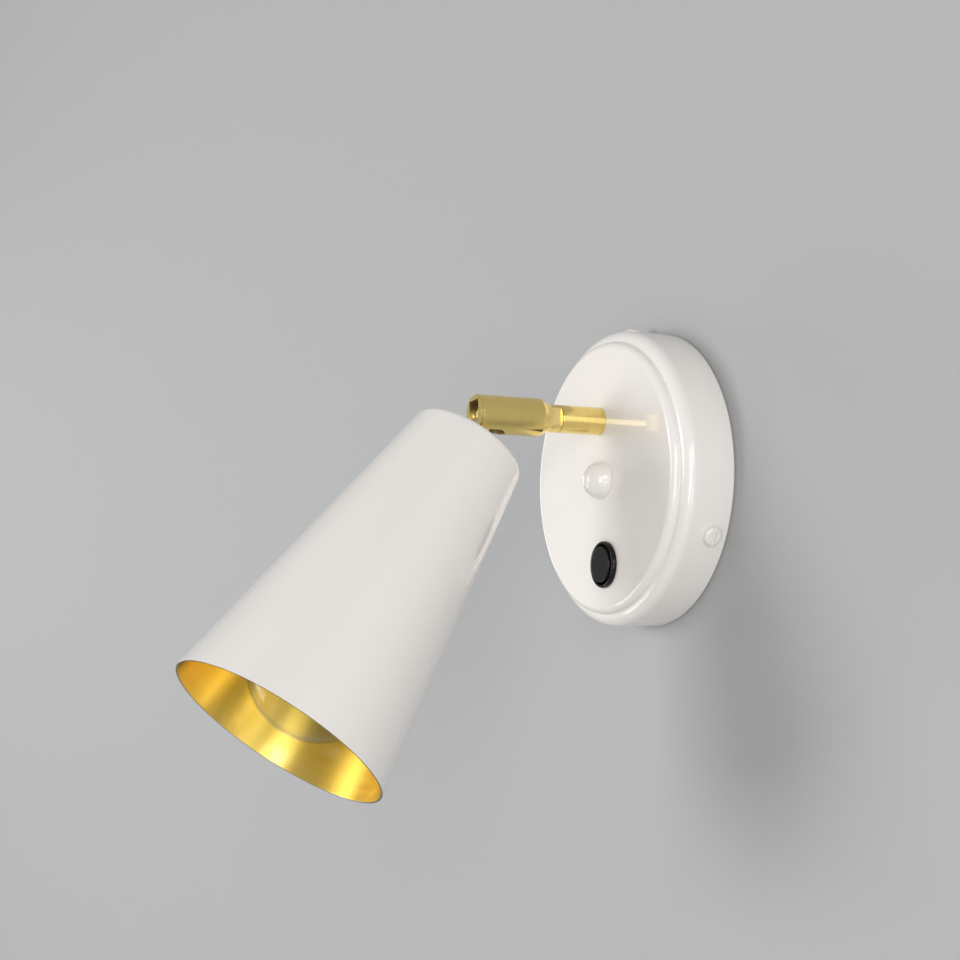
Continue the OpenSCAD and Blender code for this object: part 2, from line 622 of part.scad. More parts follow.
// Lampholder: cap, porcelain body, threaded shell, middle contact and two terminal screws
holder_wall = 1.6;
cap_neck_r = nipple_r + 3;
cap_cone = 11;
cap_top_t = 2.2;
terminal_r = 9;
terminal_screw_r = 1.5;
terminal_head_u = holder_floor - 3.5;
shell_r = shell_bore_d / 2;
shell_t = 0.6;
shell_seat_r = shell_r + shell_t + 0.2;
module holder_cap() color(porcelain) on_head() rotate_extrude() polygon([
    [nipple_r + thread_gap, holder_start], [cap_neck_r, holder_start], [holder_r, holder_start + cap_cone],
    [holder_r, holder_floor], [holder_r - holder_wall, holder_floor],
    [holder_r - holder_wall, holder_start + cap_cone + 0.6],
    [cap_neck_r - 0.5, holder_start + cap_top_t], [nipple_r + thread_gap, holder_start + cap_top_t]
]);
module holder_body() color(porcelain) on_head() difference() {
    rotate_extrude() polygon([
        [0, base_floor], [holder_r - 2 * holder_wall, base_floor], [holder_r - 2 * holder_wall, holder_floor],
        [holder_r, holder_floor], [holder_r, holder_mouth - 1], [holder_r - 1, holder_mouth],
        [shell_seat_r + 0.6, holder_mouth], [shell_seat_r, holder_mouth - 0.6], [shell_seat_r, contact_u],
        [0, contact_u]
    ]);
    for (side = [-1, 1]) translate([side * terminal_r, 0, base_floor - 1])
        cylinder(r = terminal_screw_r + seat_gap, h = base_t + 2);
}
module holder_shell() color(brass) on_head() ring(shell_r + shell_t, shell_r, contact_u, holder_mouth - 3);
module holder_contact() color(brass) on_head() {
    strip = [6, terminal_r + 1, 0.5];
    translate([-strip[0] / 2, 3 - strip[1], contact_u]) cube(strip);
    translate([0, 0, contact_u]) cylinder(r = 2, h = holder_contact_h);
}
module holder_terminals() color(brass) on_head() for (side = [-1, 1]) translate([side * terminal_r, 0, 0]) {
    translate([0, 0, base_floor]) cylinder(r = terminal_screw_r, h = base_t);
    translate([0, 0, terminal_head_u]) cylinder(r = terminal_screw_r + 1.1, h = base_floor - terminal_head_u);
}

// Bulb: screw base, insulator, contact, glass, stem, support wires and filaments
base_sheet = 0.5;
insulator_r = 8.8;
insulator_u = tip_u + 5;
tip_r = 4.6;
tip_t = 1.8;
thread_u = tip_u + 6;
seal_u = tip_u + 12;
flare = 2;
module bulb_base() color(steel) on_head() rotate_extrude() polygon([
    [insulator_r + 0.4, tip_u + 2.7], [base_r, thread_u], [base_r, shell_rim_u - flare],
    [base_r + 0.7, shell_rim_u], [base_r + 0.7 - base_sheet, shell_rim_u],
    [base_r - base_sheet, shell_rim_u - flare], [base_r - base_sheet, thread_u + 0.3],
    [insulator_r + 0.1, tip_u + 3.1]
]);
module bulb_insulator() color([0.12, 0.1, 0.14]) on_head() rotate_extrude() polygon([
    [tip_r + 0.1, tip_u + 0.8], [insulator_r + 0.2, tip_u + 2.6], [insulator_r, tip_u + 3],
    [insulator_r, insulator_u], [0, insulator_u], [0, tip_u + tip_t + 0.1], [tip_r + 0.1, tip_u + tip_t + 0.1]
]);
module bulb_contact() color(steel) on_head() rotate_extrude() polygon([
    [0, tip_u], [tip_r - 1.6, tip_u + 0.1], [tip_r, tip_u + 0.8], [tip_r, tip_u + tip_t], [0, tip_u + tip_t]
]);
// The globe runs into a straight neck over a hollow fillet; off moves the whole line inwards
function glass_line(off) = let (
    r = bulb_r - off,
    n = bulb_neck_d / 2 - off,
    f = neck_fillet + off,
    fr = n + f,
    a = acos(fr / (r + f)),
    fu = globe_u - (r + f) * sin(a)
) concat(
    [[n, fu]],
    arc(fr, fu, f, 180, 180 - a, 10),
    arc(0, globe_u, r, -a, 90, 28)
);
function reversed(p) = [for (i = [len(p) - 1:-1:0]) p[i]];
sealed_r = base_r - base_sheet - 0.2;
module bulb_glass() color(clear_glass) on_head() rotate_extrude() polygon(concat(
    [[sealed_r, seal_u], [sealed_r, shell_rim_u - 1.5]],
    glass_line(0), reversed(glass_line(glass)),
    [[sealed_r - glass, shell_rim_u - 1.5], [sealed_r - glass, seal_u]]
));
// The stem is a flared glass tube, drawn in to a rod that carries the wires
flare_r = sealed_r - glass - 0.9;
rod_r = 2.4;
stem_top = globe_u - 14;
module bulb_stem() color(clear_glass) on_head() rotate_extrude() polygon([
    [0, seal_u], [flare_r, seal_u], [flare_r - 0.6, seal_u + 3], [2 * rod_r, shell_rim_u - 3],
    [rod_r + 0.6, shell_rim_u + 3], [rod_r, stem_top - 1], [rod_r - 0.8, stem_top], [0, stem_top]
]);
filament_count = 4;
filament_low = globe_u - 26;
filament_high = globe_u + 7;
filament_foot = 9;
filament_head = 5;
filament_r = 0.9;
support_r = 0.25;
module filament_supports() color(steel) on_head() {
    for (i = [0:filament_count - 1]) rotate([0, 0, 360 * i / filament_count + 45])
        tube([
            [rod_r - 0.9, 0, filament_low - 4], [rod_r + 1.6, 0, filament_low - 3.6], [filament_foot, 0, filament_low]
        ], support_r, 6);
    translate([0, 0, stem_top]) cylinder(r = support_r, h = filament_high - stem_top);
    translate([0, 0, filament_high - 0.3]) cylinder(r = filament_head, h = 0.4);
}
module filaments() color([0.95, 0.75, 0.25]) on_head() for (i = [0:filament_count - 1])
    rotate([0, 0, 360 * i / filament_count + 45])
        tube([[filament_foot, 0, filament_low + support_r], [filament_head, 0, filament_high - 0.8]], filament_r, 8);

mounting_bracket();
ground_screw();
ground_wire();
wire_connectors();
canopy();
side_screws();
dome_cap();
dome_nut();
switch_body();
switch_nut();
switch_terminals();
switch_contact();
switch_spring();
push_button();
live_lead();
switch_lead();
neutral_lead();
stem();
stem_nipple();
stem_washer();
stem_nut();
swivel_barrel();
swivel_washer();
swivel_nut();
swivel_wires();
tilt_screw();
tilt_tongue();
shade();
shade_washer();
shade_nut();
head_wires();
holder_cap();
holder_body();
holder_shell();
holder_contact();
holder_terminals();
bulb_base();
bulb_insulator();
bulb_contact();
bulb_glass();
bulb_stem();
filament_supports();
filaments();
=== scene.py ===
import json
from math import acos, atan, cos, degrees, pi, radians, sin, tan

import bmesh
import bpy
from mathutils import Matrix, Vector

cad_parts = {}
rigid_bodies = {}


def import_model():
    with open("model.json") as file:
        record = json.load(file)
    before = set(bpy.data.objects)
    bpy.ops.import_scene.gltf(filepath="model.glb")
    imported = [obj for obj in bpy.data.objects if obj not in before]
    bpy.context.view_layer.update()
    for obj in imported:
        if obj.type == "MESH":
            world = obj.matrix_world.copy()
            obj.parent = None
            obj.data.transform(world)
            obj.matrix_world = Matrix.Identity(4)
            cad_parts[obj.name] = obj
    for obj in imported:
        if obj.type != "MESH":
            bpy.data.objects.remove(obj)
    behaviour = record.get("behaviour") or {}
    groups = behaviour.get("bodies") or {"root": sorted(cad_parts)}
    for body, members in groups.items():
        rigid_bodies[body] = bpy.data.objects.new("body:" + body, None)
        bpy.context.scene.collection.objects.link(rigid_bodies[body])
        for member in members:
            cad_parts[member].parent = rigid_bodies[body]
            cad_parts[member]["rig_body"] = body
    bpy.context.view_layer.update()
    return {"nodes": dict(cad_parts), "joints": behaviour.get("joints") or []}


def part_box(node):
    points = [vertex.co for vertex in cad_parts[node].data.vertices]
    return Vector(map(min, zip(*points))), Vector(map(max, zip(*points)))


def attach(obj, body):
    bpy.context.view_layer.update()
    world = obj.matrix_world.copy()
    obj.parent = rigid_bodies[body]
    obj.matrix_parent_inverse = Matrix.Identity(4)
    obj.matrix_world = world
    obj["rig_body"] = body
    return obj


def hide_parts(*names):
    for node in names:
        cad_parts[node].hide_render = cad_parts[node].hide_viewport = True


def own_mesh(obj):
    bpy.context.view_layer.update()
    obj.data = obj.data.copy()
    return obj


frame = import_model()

# Camera: a long lens, low and to the right of the light, which looks a little upwards.
# Its place was worked out from the outlines of the canopy, the arm and the shade.
mm = 0.001
camera_place = Vector((735.99, -450.71, -137.75)) * mm
turn_from_front = radians(63.530)
look_up = radians(9.265)
camera_roll = radians(-1.831)
camera_data = bpy.data.cameras.new("camera")
camera_data.lens = 75
camera_data.sensor_width = 36
camera = bpy.data.objects.new("camera", camera_data)
camera.matrix_world = (
    Matrix.Translation(camera_place)
    @ Matrix.Rotation(turn_from_front, 4, "Z")
    @ Matrix.Rotation(radians(90) + look_up, 4, "X")
    @ Matrix.Rotation(camera_roll, 4, "Z")
)
bpy.context.scene.collection.objects.link(camera)
bpy.context.scene.camera = camera
bpy.context.scene.view_settings.view_transform = "Standard"


# Studio: a painted wall that the light hangs on, and a pale floor well below it. The wall is open
# behind the canopy, where the box in the wall is, and it can be looked through from behind.
def node_maker(tree):
    """A function that adds a node to the tree and gives it its settings."""
    def node(kind, **settings):
        made = tree.nodes.new(kind)
        for key, value in settings.items():
            setattr(made, key, value)
        return made

    return node


def new_material(name):
    """A material, its tree, its Principled BSDF and a function that adds a node to it."""
    material = bpy.data.materials.new(name)
    material.use_nodes = True
    tree = material.node_tree
    return material, tree, tree.nodes["Principled BSDF"], node_maker(tree)


def new_piece(name, mesh):
    """An object with the mesh, in the scene."""
    piece = bpy.data.objects.new(name, mesh)
    bpy.context.scene.collection.objects.link(piece)
    return piece


wall_hole_r = 62.6 * mm
wall_reach = 4.0
wall_gap = 0.7 * mm  # the canopy's rear rim stands this far off the paint
wall_paint, tree, paint, node = new_material("wall_paint")
paint.inputs["Base Color"].default_value = (0.408, 0.411, 0.415, 1)
paint.inputs["Roughness"].default_value = 0.75
behind = node("ShaderNodeNewGeometry")
see_through = node("ShaderNodeBsdfTransparent")
either = node("ShaderNodeMixShader")
tree.links.new(behind.outputs["Backfacing"], either.inputs[0])
tree.links.new(paint.outputs[0], either.inputs[1])
tree.links.new(see_through.outputs[0], either.inputs[2])
tree.links.new(either.outputs[0], tree.nodes["Material Output"].inputs["Surface"])

rim_steps = 96
mesh = bpy.data.meshes.new("wall")
mesh.from_pydata(
    [
        (radius * cos(2 * pi * i / rim_steps), wall_gap, radius * sin(2 * pi * i / rim_steps))
        for radius in (wall_hole_r, wall_reach) for i in range(rim_steps)
    ],
    [],
    [
        (i, rim_steps + i, rim_steps + (i + 1) % rim_steps, (i + 1) % rim_steps)
        for i in range(rim_steps)
    ],
)
mesh.materials.append(wall_paint)
new_piece("wall", mesh)

floor_level = -1.2
floor_front = -6.0
floor_back = 0.1
floor_paint, tree, paint, node = new_material("floor_paint")
paint.inputs["Base Color"].default_value = (0.62, 0.62, 0.61, 1)
paint.inputs["Roughness"].default_value = 0.7
mesh = bpy.data.meshes.new("floor")
mesh.from_pydata(
    [
        (-wall_reach, floor_back, floor_level), (-wall_reach, floor_front, floor_level),
        (wall_reach, floor_front, floor_level), (wall_reach, floor_back, floor_level),
    ],
    [],
    [(0, 1, 2, 3)],
)
mesh.materials.append(floor_paint)
new_piece("floor", mesh)

world = bpy.data.worlds.new("studio")
world.use_nodes = True
room_light = world.node_tree.nodes["Background"]
room_light.inputs["Color"].default_value = (1, 1, 1, 1)
room_light.inputs["Strength"].default_value = 0.44
bpy.context.scene.world = world


def soft_box(name, place, width, height, power):
    """A soft box at place, turned towards the light on the wall."""
    data = bpy.data.lights.new(name, "AREA")
    data.shape = "RECTANGLE"
    data.size = width
    data.size_y = height
    data.energy = power
    lamp = bpy.data.objects.new(name, data)
    lamp.location = place
    lamp.rotation_euler = (lamp_target - Vector(place)).to_track_quat("-Z", "Y").to_euler()
    bpy.context.scene.collection.objects.link(lamp)


# The numbers after a lamp's place are its width and height in metres and its power in watts.
lamp_target = Vector((0, -0.08, -0.03))
soft_box("key_light", (-0.98, -2.33, 0.24), 0.95, 1.07, 28)
soft_box("right_light", (1.96, -1.28, 0.03), 0.8, 1.05, 11.5)
soft_box("low_light", (1.80, -1.39, -0.63), 0.6, 0.5, 6)
soft_box("side_light", (2.44, -0.42, 0.40), 0.7, 0.7, 9)
soft_box("low_side_light", (2.33, -0.41, -0.89), 0.7, 0.7, 5)
soft_box("left_light", (-2.42, -0.51, 0.40), 0.7, 0.7, 4)
soft_box("fill_light", (-1.85, -1.63, -0.68), 0.7, 0.7, 5.5)


# Mounting bracket: zinc-plated sheet steel, stamped with its slots and bent up into three tabs.
# It is screwed to the box in the wall, and the side screws hold the canopy on it.
def shading_group(name, inputs, outputs):
    """An empty shader node group with the sockets named, and a function that adds a node to it."""
    group = bpy.data.node_groups.new(name, "ShaderNodeTree")
    for socket, kind, value in inputs:
        made = group.interface.new_socket(name=socket, in_out="INPUT", socket_type=kind)
        if value is not None:
            made.default_value = value
    for socket, kind in outputs:
        group.interface.new_socket(name=socket, in_out="OUTPUT", socket_type=kind)

    node = node_maker(group)
    return group, node, node("NodeGroupInput"), node("NodeGroupOutput")


def handled_surface():
    """Cloudy patches of handling and fine grain: a Cloud value, and a Height for bump."""
    group, node, given, out = shading_group(
        "handled_surface",
        [("Vector", "NodeSocketVector", None), ("Patch Scale", "NodeSocketFloat", 60.0),
         ("Grain Scale", "NodeSocketFloat", 1500.0)],
        [("Cloud", "NodeSocketFloat"), ("Height", "NodeSocketFloat")],
    )
    patches = node("ShaderNodeTexNoise")
    patches.inputs["Detail"].default_value = 4
    grain = node("ShaderNodeTexNoise")
    grain.inputs["Detail"].default_value = 3
    link = group.links.new
    link(given.outputs["Vector"], patches.inputs["Vector"])
    link(given.outputs["Patch Scale"], patches.inputs["Scale"])
    link(given.outputs["Vector"], grain.inputs["Vector"])
    link(given.outputs["Grain Scale"], grain.inputs["Scale"])
    link(patches.outputs["Fac"], out.inputs["Cloud"])
    link(grain.outputs["Fac"], out.inputs["Height"])
    return group


handled = handled_surface()


def vary_surface(tree, surface, node, pattern, height, roughness, colors, bump):
    """Lets a pattern vary roughness and colour, each between two values, and a height raise it."""
    rough = node("ShaderNodeMapRange")
    rough.inputs["To Min"].default_value, rough.inputs["To Max"].default_value = roughness
    blend = node("ShaderNodeMix", data_type="RGBA")
    blend.inputs["A"].default_value = (*colors[0], 1)
    blend.inputs["B"].default_value = (*colors[1], 1)
    relief = node("ShaderNodeBump")
    relief.inputs["Distance"].default_value = bump
    link = tree.links.new
    link(pattern, rough.inputs["Value"])
    link(pattern, blend.inputs["Factor"])
    link(height, relief.inputs["Height"])
    link(rough.outputs["Result"], surface.inputs["Roughness"])
    link(blend.outputs["Result"], surface.inputs["Base Color"])
    link(relief.outputs["Normal"], surface.inputs["Normal"])
    return relief.outputs["Normal"]


def tinted(color, darker, lighter):
    """The colour made darker and lighter by two factors."""
    return [c * darker for c in color], [min(1, c * lighter) for c in color]


def set_shader(surface, metallic, shader):
    """Sets the plain values of a Principled BSDF, with _ for a space in the name of a socket."""
    surface.inputs["Metallic"].default_value = metallic
    for socket, value in shader.items():
        surface.inputs[socket.replace("_", " ")].default_value = value


def finish(
    name, color, metallic, roughness, uneven=0.08, tint=0.06, patch=60, grain=1500, bump=0.02 * mm,
    **shader,
):
    """A finish whose roughness and colour vary in patches, with a fine grain as bump."""
    material, tree, surface, node = new_material(name)
    set_shader(surface, metallic, shader)
    patches = node("ShaderNodeGroup", node_tree=handled)
    patches.inputs["Patch Scale"].default_value = patch
    patches.inputs["Grain Scale"].default_value = grain
    tree.links.new(node("ShaderNodeTexCoord").outputs["Object"], patches.inputs["Vector"])
    vary_surface(
        tree, surface, node, patches.outputs["Cloud"], patches.outputs["Height"],
        roughness=(roughness - uneven, roughness + uneven),
        colors=tinted(color, 1 - tint, 1 + tint), bump=bump,
    )
    return material


def smooth_copy(node, slot, *materials, crease=radians(32)):
    """The CAD solid's own form with its triangles joined, rounded faces smooth and edges crisp."""
    mesh = frame["nodes"][node].data.copy()
    body = bmesh.new()
    body.from_mesh(mesh)
    bmesh.ops.remove_doubles(body, verts=body.verts, dist=0.001 * mm)
    for edge in body.edges:
        edge.smooth = len(edge.link_faces) == 2 and edge.calc_face_angle(0) < crease
    for face in body.faces:
        face.smooth = True
        face.material_index = 0
    body.to_mesh(mesh)
    body.free()
    mesh.materials.clear()
    for material in materials:
        mesh.materials.append(material)
    piece = new_piece(node + "_finished", mesh)
    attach(piece, frame["nodes"][node]["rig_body"])
    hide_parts(node)
    return piece


zinc = finish(
    "zinc_plate", (0.60, 0.61, 0.62), metallic=1, roughness=0.34, uneven=0.1, tint=0.1,
    patch=110, bump=0.01 * mm,
)
smooth_copy("mounting_bracket", "plated_steel", zinc)

# Ground screw and ground wire: a green hex screw in the bracket's boss, over the ring lug that is
# crimped to the wire.
green_dye = finish("green_dye", (0.02, 0.16, 0.05), metallic=0.8, roughness=0.32)
green_cover = finish("green_insulation", (0.03, 0.19, 0.05), metallic=0, roughness=0.42)
smooth_copy("ground_screw", "green_steel", green_dye)
smooth_copy("ground_wire", "green_insulation", green_cover)

# Connectors: three moulded twist-on caps with ribs for the fingers. Each joins a wire from the
# wall to one of the light's own.
connector_plastic = finish("connector_plastic", (0.72, 0.20, 0.02), metallic=0, roughness=0.38)
smooth_copy("wire_connectors", "orange_plastic", connector_plastic)


# Canopy: a deep dish pressed from 1.5 mm steel, with a rolled front, a groove and a raised face.
# It is coated inside and out with a warm white gloss enamel.
def outline(*corners, steps=8, lead_in=0.12 * mm):
    """A closed outline of (radius, height) points. A third number rounds its corner with an arc.

    A point just before and after each arc keeps the flats beside it flat in shading."""
    points = []
    for i, corner in enumerate(corners):
        here = Vector(corner[:2])
        if len(corner) == 2:
            points.append(here)
            continue
        back = (Vector(corners[i - 1][:2]) - here)
        ahead = (Vector(corners[(i + 1) % len(corners)][:2]) - here)
        reach = min(back.length, ahead.length)
        back.normalize()
        ahead.normalize()
        half = back.angle(ahead) / 2
        tangent = min(corner[2] / tan(half), 0.49 * reach)  # two arcs on one side never meet
        radius = tangent * tan(half)
        centre = here + (back + ahead).normalized() * radius / sin(half)
        start = here + back * tangent
        sweep = (start - centre).angle_signed(here + ahead * tangent - centre)
        points.append(start + back * min(lead_in, 0.1 * reach))
        for k in range(steps + 1):
            points.append(centre + Matrix.Rotation(-sweep * k / steps, 2) @ (start - centre))
        points.append(here + ahead * (tangent + min(lead_in, 0.1 * reach)))
    return points


def arc(centre_r, centre_h, radius, from_deg, to_deg, steps=24):
    """Plain outline points along an arc."""
    return [
        (centre_r + radius * cos(radians(a)), centre_h + radius * sin(radians(a)))
        for a in [from_deg + (to_deg - from_deg) * i / steps for i in range(steps + 1)]
    ]


def lathe_tree():
    """Turns the outline, a loop of (radius, height) points, round the Z axis into a closed skin."""
    tree = bpy.data.node_groups.new("turned_on_a_lathe", "GeometryNodeTree")
    face = tree.interface
    face.new_socket(name="Outline", in_out="INPUT", socket_type="NodeSocketGeometry")
    face.new_socket(name="Steps Around", in_out="INPUT", socket_type="NodeSocketInt")
    face.new_socket(name="Crease Angle", in_out="INPUT", socket_type="NodeSocketFloat")
    face.new_socket(name="Material", in_out="INPUT", socket_type="NodeSocketMaterial")
    face.new_socket(name="Geometry", in_out="OUTPUT", socket_type="NodeSocketGeometry")
    node = node_maker(tree)

    def math(operation, a, b=None):
        made = node("ShaderNodeMath", operation=operation)
        for socket, value in zip(made.inputs, (a, b)):
            if isinstance(value, (int, float)):
                socket.default_value = value
            elif value is not None:
                tree.links.new(value, socket)
        return made.outputs[0]

    link = tree.links.new
    given = node("NodeGroupInput")
    size = node("GeometryNodeAttributeDomainSize", component="MESH")
    link(given.outputs["Outline"], size.inputs[0])
    count = size.outputs["Point Count"]
    grid = node("GeometryNodeMeshGrid")
    grid.inputs["Size X"].default_value = 1
    grid.inputs["Size Y"].default_value = 1
    link(math("ADD", count, 1), grid.inputs["Vertices X"])
    link(math("ADD", given.outputs["Steps Around"], 1), grid.inputs["Vertices Y"])
    place = node("ShaderNodeSeparateXYZ")
    link(node("GeometryNodeInputPosition").outputs[0], place.inputs[0])
    index = math("ROUND", math("MULTIPLY", math("ADD", place.outputs["X"], 0.5), count))
    angle = math("MULTIPLY", math("ADD", place.outputs["Y"], 0.5), 2 * pi)
    picked = node("GeometryNodeSampleIndex", data_type="FLOAT_VECTOR", domain="POINT")
    link(given.outputs["Outline"], picked.inputs["Geometry"])
    link(node("GeometryNodeInputPosition").outputs[0], picked.inputs["Value"])
    link(math("MODULO", index, count), picked.inputs["Index"])
    profile = node("ShaderNodeSeparateXYZ")
    link(picked.outputs[0], profile.inputs[0])
    turned = node("ShaderNodeCombineXYZ")
    link(math("MULTIPLY", profile.outputs["X"], math("COSINE", angle)), turned.inputs["X"])
    link(math("MULTIPLY", profile.outputs["X"], math("SINE", angle)), turned.inputs["Y"])
    link(profile.outputs["Y"], turned.inputs["Z"])
    kept_uv = node("GeometryNodeStoreNamedAttribute", data_type="FLOAT2", domain="CORNER")
    kept_uv.inputs["Name"].default_value = "UVMap"
    link(grid.outputs["Mesh"], kept_uv.inputs["Geometry"])
    link(grid.outputs["UV Map"], kept_uv.inputs["Value"])
    moved = node("GeometryNodeSetPosition")
    link(kept_uv.outputs[0], moved.inputs["Geometry"])
    link(turned.outputs[0], moved.inputs["Position"])
    closed = node("GeometryNodeMergeByDistance")
    closed.inputs["Distance"].default_value = 0.001 * mm
    link(moved.outputs[0], closed.inputs["Geometry"])
    edge_angle = node("GeometryNodeInputMeshEdgeAngle")
    sharp = node("FunctionNodeCompare", data_type="FLOAT", operation="GREATER_THAN")
    link(edge_angle.outputs["Unsigned Angle"], sharp.inputs[0])
    link(given.outputs["Crease Angle"], sharp.inputs[1])
    smooth = node("GeometryNodeSetShadeSmooth", domain="FACE")
    link(closed.outputs[0], smooth.inputs["Geometry"])
    creased = node("GeometryNodeSetShadeSmooth", domain="EDGE")
    creased.inputs["Shade Smooth"].default_value = False
    link(smooth.outputs[0], creased.inputs["Geometry"])
    link(sharp.outputs[0], creased.inputs["Selection"])
    real = node("GeometryNodeRealizeInstances")
    link(creased.outputs[0], real.inputs[0])
    painted = node("GeometryNodeSetMaterial")
    link(real.outputs[0], painted.inputs["Geometry"])
    link(given.outputs["Material"], painted.inputs["Material"])
    link(painted.outputs[0], node("NodeGroupOutput").inputs[0])
    return tree


def through_tree(mesh, tree, **inputs):
    """The plain mesh that a Geometry Nodes tree makes of the given one."""
    seed = new_piece("seed", mesh)
    modifier = seed.modifiers.new("tree", "NODES")
    modifier.node_group = tree
    sockets = {s.name: s.identifier for s in tree.interface.items_tree if s.in_out == "INPUT"}
    for name, value in inputs.items():
        modifier[sockets[name.replace("_", " ")]] = value
    evaluated = seed.evaluated_get(bpy.context.evaluated_depsgraph_get())
    made = bpy.data.meshes.new_from_object(evaluated)
    seed.modifiers.clear()
    bpy.data.objects.remove(seed)
    return made


lathe = lathe_tree()


def turned(points, place, material, steps=128, crease=radians(50)):
    """A mesh turned from a closed outline in metres and stood in its place, its faces outwards."""
    loop = bpy.data.meshes.new("outline")
    loop.from_pydata(
        [(p[0], p[1], 0) for p in points],
        [(i, (i + 1) % len(points)) for i in range(len(points))],
        [],
    )
    made = through_tree(loop, lathe, Steps_Around=steps, Crease_Angle=crease, Material=material)
    skin = bmesh.new()
    skin.from_mesh(made)
    bmesh.ops.recalc_face_normals(skin, faces=skin.faces)
    skin.transform(place)
    for face in skin.faces:
        face.material_index = 0
    skin.to_mesh(made)
    skin.free()
    made.materials.clear()
    made.materials.append(material)
    return made


def cut(piece, tool_mesh, crease=radians(32)):
    """Takes the tool's form out of the piece. The cut faces get the tool's material."""
    tool = new_piece("tool", tool_mesh)
    modifier = piece.modifiers.new("cut", "BOOLEAN")
    modifier.object = tool
    modifier.solver = "EXACT"
    modifier.material_mode = "TRANSFER"
    evaluated = piece.evaluated_get(bpy.context.evaluated_depsgraph_get())
    made = bpy.data.meshes.new_from_object(evaluated)
    piece.modifiers.clear()
    bpy.data.objects.remove(tool)
    made.set_sharp_from_angle(angle=crease)
    piece.data = made


def rod(radius, low, high, place, material, steps=64):
    """A plain round tool for cutting."""
    return turned([(0, low), (radius, low), (radius, high), (0, high)], place, material, steps)


def white_enamel(name, peel):
    """Gloss enamel: a warm white under a clear skin that is slightly uneven, like orange peel."""
    material, tree, surface, node = new_material(name)
    surface.inputs["Coat Weight"].default_value = 1.0
    surface.inputs["Coat Roughness"].default_value = 0.05
    surface.inputs["Coat IOR"].default_value = 1.42
    patches = node("ShaderNodeGroup", node_tree=handled)
    patches.inputs["Patch Scale"].default_value = 22
    patches.inputs["Grain Scale"].default_value = peel
    tree.links.new(node("ShaderNodeTexCoord").outputs["Object"], patches.inputs["Vector"])
    skin = vary_surface(
        tree, surface, node, patches.outputs["Cloud"], patches.outputs["Height"],
        roughness=(0.30, 0.42), colors=((0.800, 0.762, 0.722), (0.835, 0.800, 0.764)),
        bump=0.012 * mm,
    )
    tree.links.new(skin, surface.inputs["Coat Normal"])
    return material


on_wall = Matrix.Rotation(radians(90), 4, "X")
canopy_low, canopy_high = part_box("canopy")
canopy_r = (canopy_high.x - canopy_low.x) / 2
canopy_depth = -canopy_low.y
canopy_sheet = 1.5 * mm
roll_r = 5.0 * mm
roll_top = canopy_depth - 3.5 * mm
face_r = canopy_r - roll_r
face_edge_r = 3.0 * mm
groove_r = 0.45 * mm
roll_end_deg = 84.8
back_of_face = canopy_depth - canopy_sheet
roll_centre = (face_r, roll_top - roll_r)
edge_centre = (face_r - face_edge_r, canopy_depth - face_edge_r)
lead_in = 0.15 * mm
arm_height = sum(corner.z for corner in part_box("stem")) / 2
dome_z = sum(corner.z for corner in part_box("dome_cap")) / 2
switch_z = sum(corner.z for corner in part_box("switch_body")) / 2
stem_hole_r = 5.2 * mm
dome_hole_r = 2.25 * mm
switch_hole_r = 8.82 * mm
side_hole_r = 2.25 * mm
side_screw_angles = [radians(a) for a in (90, 210, 330)]
side_screw_out = 7.4 * mm

enamel = white_enamel("white_enamel", 900)
canopy = new_piece("canopy_dish", turned(
    outline(
        (canopy_r, 0, 0.3 * mm), (canopy_r, roll_centre[1] - lead_in),
        *arc(*roll_centre, roll_r, 0, roll_end_deg, 32),
        *arc(face_r + groove_r, roll_top + 0.95 * groove_r, groove_r, 270, 180, 8),
        *arc(*edge_centre, face_edge_r, 0, 90),
        (edge_centre[0] - lead_in, canopy_depth), (0, canopy_depth), (0, back_of_face),
        *arc(*edge_centre, face_edge_r - canopy_sheet, 90, 0, 12),
        (face_r - canopy_sheet, roll_top - canopy_sheet, 0.3 * mm),
        *arc(*roll_centre, roll_r - canopy_sheet, 90, 0, 12),
        (canopy_r - canopy_sheet, 0, 0.3 * mm),
    ),
    on_wall, enamel, steps=256,
))
face_holes = (arm_height, stem_hole_r), (dome_z, dome_hole_r), (switch_z, switch_hole_r)
for height, radius in face_holes:
    drill = Matrix.Translation((0, 0, height)) @ on_wall
    cut(canopy, rod(radius, back_of_face - 2 * mm, canopy_depth + 2 * mm, drill, enamel))
for angle in side_screw_angles:
    drill = (
        on_wall @ Matrix.Rotation(angle, 4, "Z") @ Matrix.Translation((0, 0, side_screw_out))
        @ Matrix.Rotation(radians(90), 4, "Y")
    )
    cut(canopy, rod(side_hole_r, canopy_r - 4 * mm, canopy_r + 2 * mm, drill, enamel, steps=48))
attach(canopy, "wall_base")
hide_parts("canopy")


